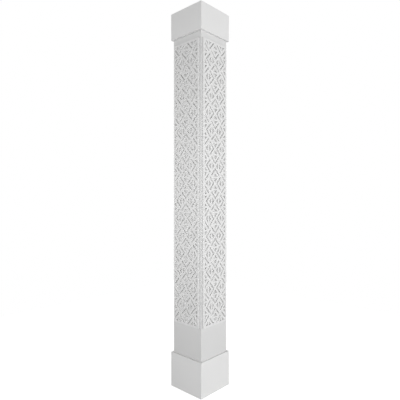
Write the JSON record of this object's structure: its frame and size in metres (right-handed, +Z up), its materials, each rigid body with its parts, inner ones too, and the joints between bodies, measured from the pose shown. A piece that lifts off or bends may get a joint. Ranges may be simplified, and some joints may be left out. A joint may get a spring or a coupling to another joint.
{
  "type": "fretwork column",
  "caption": "Square hollow column with a plain collar at its foot and head and a pierced fretwork panel of interlaced chevrons and diamonds on each face.",
  "frame": {"origin": "centre of the underside, on the axis of the shaft", "axes": "+Z up along the shaft; -Y out of the front face and +X out of the right face"},
  "size_m": [0.2698, 0.2698, 2.4384],
  "materials": {
    "white_board": "smooth white cellular PVC board with a soft satin sheen"
  },
  "bodies": {
    "root": {"shaft": "white_board", "capital": "white_board", "base": "white_board", "front_fretwork": "white_board", "right_fretwork": "white_board", "back_fretwork": "white_board", "left_fretwork": "white_board"}
  },
  "joints": []
}
